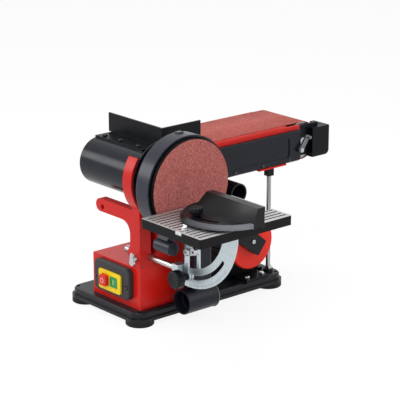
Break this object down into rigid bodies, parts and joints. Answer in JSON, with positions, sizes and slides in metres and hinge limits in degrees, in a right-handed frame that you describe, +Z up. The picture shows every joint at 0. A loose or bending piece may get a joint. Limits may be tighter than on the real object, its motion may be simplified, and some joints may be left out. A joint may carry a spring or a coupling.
{
  "type": "bench belt and disc sander",
  "caption": "Bench sander with a swinging sanding belt arm, a sanding disc with guard, a tilting table with mitre gauge, and a motor that drives both through a toothed belt.",
  "frame": {"origin": "on the bench plane, at the centre of the four bench bolts", "axes": "+X along the belt arm towards the idler roller, +Y from the disc towards the back, +Z up"},
  "size_m": [0.48, 0.3973, 0.3147],
  "materials": {
    "red_paint": "gloss enamel",
    "black_paint": "satin enamel",
    "black_plastic": "fine moulded texture",
    "rubber": "matt",
    "steel": "turned",
    "bright_fasteners": "bright plated",
    "zinc_plate": "zinc plated sheet",
    "table_aluminium": "planed top, black sides",
    "roller_aluminium": "turned",
    "black_aluminium": "black powder coat",
    "abrasive": "aluminium oxide grit on cloth",
    "yellow_plastic": "moulded",
    "red_plastic": "moulded",
    "green_plastic": "moulded"
  },
  "bodies": {
    "base": {"base_tray": "black_paint", "rubber_feet": "rubber", "pedestal": "red_paint", "frame_casting": "red_paint", "cable_gland": "black_plastic", "switch_box": "black_plastic", "switch_block": "yellow_plastic", "switch_screws": "bright_fasteners", "motor_shield": "red_paint", "motor_housing": "black_aluminium", "motor_stator": "steel", "fan_cover": "black_plastic", "motor_cradle": "black_paint", "motor_bolts": "bright_fasteners", "drive_case_back": "black_plastic", "drive_case_cover": "black_plastic", "case_screws": "bright_fasteners", "toothed_belt": "rubber", "front_bearing": "steel", "disc_guard": "black_plastic", "dust_chute": "black_plastic", "stay_post": "steel", "post_cap": "black_paint"},
    "main_shaft": {"main_shaft": "steel", "disc_plate": "black_paint", "abrasive_disc": "abrasive", "drive_drum": "roller_aluminium", "driven_pulley": "steel"},
    "motor_rotor": {"motor_rotor": "steel", "motor_pulley": "steel"},
    "belt_arm": {"arm_frame": "red_paint", "arm_side_cover": "black_plastic", "cover_screws": "bright_fasteners", "far_bearing": "steel", "sanding_belt": "abrasive", "rest_bracket": "red_paint", "drum_hood": "black_plastic", "work_fence": "black_paint", "fence_bolts": "bright_fasteners", "belt_dust_port": "black_plastic", "lever_pin": "steel"},
    "idler_carriage": {"idler_yoke": "black_paint", "idler_axle": "steel"},
    "idler_roller": {"idler_roller": "roller_aluminium"},
    "tension_lever": {"tension_lever": "zinc_plate"},
    "tracking_knob": {"tracking_knob": "black_plastic"},
    "table_slide": {"support_bar": "steel", "table_bracket": "zinc_plate", "bracket_bolts": "bright_fasteners"},
    "table": {"work_table": "table_aluminium", "quadrant": "zinc_plate", "quadrant_bolts": "bright_fasteners", "tilt_pin": "steel"},
    "tilt_lock_knob": {"tilt_lock_knob": "black_plastic"},
    "wing_screw": {"wing_screw": "bright_fasteners"},
    "mitre_bar": {"mitre_bar": "steel"},
    "mitre_head": {"mitre_head": "black_aluminium"},
    "mitre_knob": {"mitre_knob": "black_plastic"},
    "start_button": {"start_button": "green_plastic"},
    "stop_button": {"stop_button": "red_plastic"}
  },
  "joints": [
    {"name": "main_spin", "type": "hinge", "parent": "base", "child": "main_shaft", "pos_m": [-0.0945, 0, 0.2335], "axis": [0, 1, 0], "continuous": true},
    {"name": "motor_spin", "type": "hinge", "parent": "base", "child": "motor_rotor", "pos_m": [0.0925, 0, 0.086], "axis": [0, 1, 0], "continuous": true},
    {"name": "arm_swing", "type": "hinge", "parent": "base", "child": "belt_arm", "pos_m": [-0.0945, 0, 0.2335], "axis": [0, -1, 0], "range_deg": [0, 90]},
    {"name": "belt_tension", "type": "slide", "parent": "belt_arm", "child": "idler_carriage", "axis": [1, 0, 0], "range_m": [-0.008, 0]},
    {"name": "idler_spin", "type": "hinge", "parent": "idler_carriage", "child": "idler_roller", "pos_m": [0.219, 0, 0.2335], "axis": [0, 1, 0], "continuous": true},
    {"name": "lever_throw", "type": "hinge", "parent": "belt_arm", "child": "tension_lever", "pos_m": [0.201, -0.0775, 0.224], "axis": [0, -1, 0], "range_deg": [0, 75.1]},
    {"name": "tracking_turn", "type": "hinge", "parent": "idler_carriage", "child": "tracking_knob", "pos_m": [0.277, -0.047, 0.2335], "axis": [1, 0, 0], "range_deg": [-180, 180]},
    {"name": "table_reach", "type": "slide", "parent": "base", "child": "table_slide", "axis": [0, 1, 0], "range_m": [-0.035, 0]},
    {"name": "table_tilt", "type": "hinge", "parent": "table_slide", "child": "table", "pos_m": [-0.115, -0.161, 0.1935], "axis": [1, 0, 0], "range_deg": [0, 45]},
    {"name": "tilt_lock_turn", "type": "hinge", "parent": "table_slide", "child": "tilt_lock_knob", "pos_m": [-0.138, -0.161, 0.0985], "axis": [1, 0, 0], "range_deg": [0, 360]},
    {"name": "bar_lock_turn", "type": "hinge", "parent": "base", "child": "wing_screw", "pos_m": [-0.146, -0.0675, 0.1088], "axis": [1, 0, 0], "range_deg": [0, 360]},
    {"name": "mitre_slide", "type": "slide", "parent": "table", "child": "mitre_bar", "axis": [1, 0, 0], "range_m": [-0.04, 0.06]},
    {"name": "mitre_swivel", "type": "hinge", "parent": "mitre_bar", "child": "mitre_head", "pos_m": [-0.1005, -0.2335, 0.21], "axis": [0, 0, 1], "range_deg": [-55, 5]},
    {"name": "mitre_lock_turn", "type": "hinge", "parent": "mitre_bar", "child": "mitre_knob", "pos_m": [-0.1435, -0.2135, 0.22], "axis": [0, 0, 1], "range_deg": [0, 360]},
    {"name": "start_press", "type": "slide", "parent": "base", "child": "start_button", "axis": [1, 0, 0], "range_m": [0, 0.003], "stiffness_N_per_m": 600, "springref_m": -0.002},
    {"name": "stop_press", "type": "slide", "parent": "base", "child": "stop_button", "axis": [1, 0, 0], "range_m": [0, 0.003], "stiffness_N_per_m": 600, "springref_m": -0.002}
  ],
  "couplings": [
    {"joint": "motor_spin", "follows": "main_spin", "ratio": 2},
    {"joint": "idler_spin", "follows": "main_spin", "ratio": 1},
    {"joint": "lever_throw", "follows": "belt_tension", "rad_per_m": -163.6}
  ]
}
